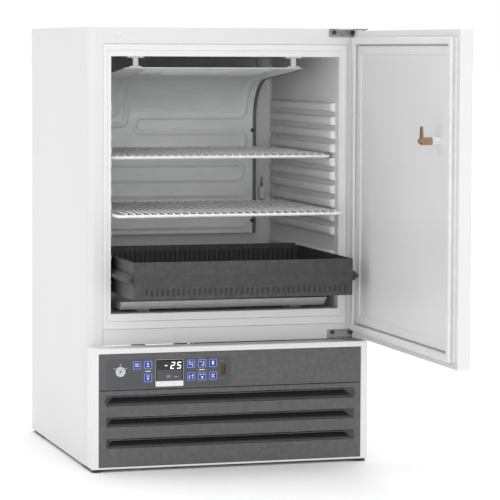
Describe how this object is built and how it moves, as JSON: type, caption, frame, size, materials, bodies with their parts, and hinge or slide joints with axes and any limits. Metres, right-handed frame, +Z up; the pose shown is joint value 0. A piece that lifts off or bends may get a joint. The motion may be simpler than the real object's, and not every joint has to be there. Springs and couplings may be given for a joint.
{
  "type": "under-bench laboratory freezer",
  "caption": "Under-bench freezer with a solid hinged door, wire shelves, a drawer tray, an evaporator sheet, a control panel and a louvred machine compartment.",
  "frame": {"origin": "on the floor, under the middle of the cabinet's footprint (the open door not counted)", "axes": "+Z up, -Y towards the front (the door side), +X towards the hinge side"},
  "size_m": [0.5418, 1.048, 0.82],
  "materials": {
    "white_steel": "semi-gloss",
    "door_steel": "semi-gloss",
    "galvanised": "matt",
    "white_plastic": "satin",
    "liner_plastic": "satin",
    "foam": "matt",
    "evaporator_aluminium": "satin",
    "zinc": "satin",
    "clear_plastic": "gloss",
    "black_plastic": "matt",
    "grey_plastic": "satin",
    "overlay_film": "satin",
    "display_black": "gloss",
    "digit_white": "gloss",
    "key_blue": "satin",
    "board_green": "satin",
    "card_brown": "matt",
    "switch_metal": "gloss",
    "seal_rubber": "matt",
    "brass": "satin",
    "coated_wire": "gloss",
    "tray_plastic": "satin",
    "compressor_black": "semi-gloss",
    "black_rubber": "matt",
    "copper": "satin"
  },
  "bodies": {
    "cabinet": {"outer_shell": "white_steel", "back_panel": "galvanised", "lower_rail": "white_steel", "breaker_frame": "white_plastic", "inner_liner": "liner_plastic", "insulation_foam": "foam", "evaporator_plate": "evaporator_aluminium", "plate_hangers": "white_plastic", "plate_screws": "zinc", "sensor_clip": "white_plastic", "temperature_probe": "black_plastic", "drip_tray": "clear_plastic", "base_surround": "white_plastic", "deck_sheet": "galvanised", "base_plate": "galvanised", "feet": "black_plastic", "hinge_brackets": "zinc", "hinge_pins": "zinc", "hinge_screws": "zinc", "hole_plugs": "white_plastic", "compressor": "compressor_black", "compressor_mounts": "black_rubber", "terminal_box": "black_plastic", "condenser": "evaporator_aluminium", "fan_motor": "galvanised", "evaporation_pan": "black_plastic", "power_inlet": "black_plastic", "suction_pipe": "copper", "control_strip": "grey_plastic", "keypad_overlay": "overlay_film", "display_bezel": "display_black", "display_digits": "digit_white", "circuit_board": "board_green", "card_slot": "card_brown", "grille": "grey_plastic", "grille_screws": "zinc", "key_switch_housing": "switch_metal"},
    "fan": {"fan_blade": "evaporator_aluminium"},
    "switch_barrel": {"key_switch_barrel": "switch_metal"},
    "key_body_1": {"key_1": "key_blue"},
    "key_body_2": {"key_2": "key_blue"},
    "key_body_3": {"key_3": "key_blue"},
    "key_body_4": {"key_4": "key_blue"},
    "key_body_5": {"key_5": "key_blue"},
    "key_body_6": {"key_6": "key_blue"},
    "key_body_7": {"key_7": "key_blue"},
    "key_body_8": {"key_8": "key_blue"},
    "key_body_9": {"key_9": "key_blue"},
    "door": {"door_shell": "door_steel", "door_liner": "liner_plastic", "door_foam": "foam", "door_gasket": "seal_rubber", "door_bushes": "white_plastic", "lock_collar": "white_plastic"},
    "lock": {"lock_barrel": "brass"},
    "upper_shelf": {"shelf_upper": "coated_wire"},
    "lower_shelf": {"shelf_lower": "coated_wire"},
    "runners": {"tray_runners": "tray_plastic"},
    "drawer": {"tray": "tray_plastic"}
  },
  "joints": [
    {"name": "door_hinge", "type": "hinge", "parent": "cabinet", "child": "door", "pos_m": [0.26, -0.2525, 0.5265], "axis": [0, 0, 1], "range_deg": [-90, 20]},
    {"name": "lock_turn", "type": "hinge", "parent": "door", "child": "lock", "pos_m": [0.26, -0.6905, 0.624], "axis": [1, 0, 0], "range_deg": [0, 90]},
    {"name": "runners_slide", "type": "slide", "parent": "cabinet", "child": "runners", "axis": [0, -1, 0], "range_m": [-0.2001, 0.0446]},
    {"name": "drawer_slide", "type": "slide", "parent": "runners", "child": "drawer", "axis": [0, -1, 0], "range_m": [0, 0.11]},
    {"name": "lower_shelf_slide", "type": "slide", "parent": "cabinet", "child": "lower_shelf", "axis": [0, -1, 0], "range_m": [-0.0781, 0.0175]},
    {"name": "upper_shelf_slide", "type": "slide", "parent": "cabinet", "child": "upper_shelf", "axis": [0, -1, 0], "range_m": [0, 0.2]},
    {"name": "fan_spin", "type": "hinge", "parent": "cabinet", "child": "fan", "pos_m": [-0.06, -0.114, 0.112], "axis": [0, 1, 0], "continuous": true},
    {"name": "switch_turn", "type": "hinge", "parent": "cabinet", "child": "switch_barrel", "pos_m": [-0.214, -0.26, 0.1864], "axis": [0, 1, 0], "range_deg": [-60, 60]},
    {"name": "key_1_press", "type": "slide", "parent": "cabinet", "child": "key_body_1", "axis": [0, 1, 0], "range_m": [0, 0.0008], "stiffness_N_per_m": 600},
    {"name": "key_2_press", "type": "slide", "parent": "cabinet", "child": "key_body_2", "axis": [0, 1, 0], "range_m": [0, 0.0008], "stiffness_N_per_m": 600},
    {"name": "key_3_press", "type": "slide", "parent": "cabinet", "child": "key_body_3", "axis": [0, 1, 0], "range_m": [0, 0.0008], "stiffness_N_per_m": 600},
    {"name": "key_4_press", "type": "slide", "parent": "cabinet", "child": "key_body_4", "axis": [0, 1, 0], "range_m": [0, 0.0008], "stiffness_N_per_m": 600},
    {"name": "key_5_press", "type": "slide", "parent": "cabinet", "child": "key_body_5", "axis": [0, 1, 0], "range_m": [0, 0.0008], "stiffness_N_per_m": 600},
    {"name": "key_6_press", "type": "slide", "parent": "cabinet", "child": "key_body_6", "axis": [0, 1, 0], "range_m": [0, 0.0008], "stiffness_N_per_m": 600},
    {"name": "key_7_press", "type": "slide", "parent": "cabinet", "child": "key_body_7", "axis": [0, 1, 0], "range_m": [0, 0.0008], "stiffness_N_per_m": 600},
    {"name": "key_8_press", "type": "slide", "parent": "cabinet", "child": "key_body_8", "axis": [0, 1, 0], "range_m": [0, 0.0008], "stiffness_N_per_m": 600},
    {"name": "key_9_press", "type": "slide", "parent": "cabinet", "child": "key_body_9", "axis": [0, 1, 0], "range_m": [0, 0.0008], "stiffness_N_per_m": 600}
  ],
  "couplings": [
    {"joint": "runners_slide", "follows": "door_hinge", "m_per_rad": 0.12732},
    {"joint": "lower_shelf_slide", "follows": "door_hinge", "m_per_rad": 0.049656}
  ]
}
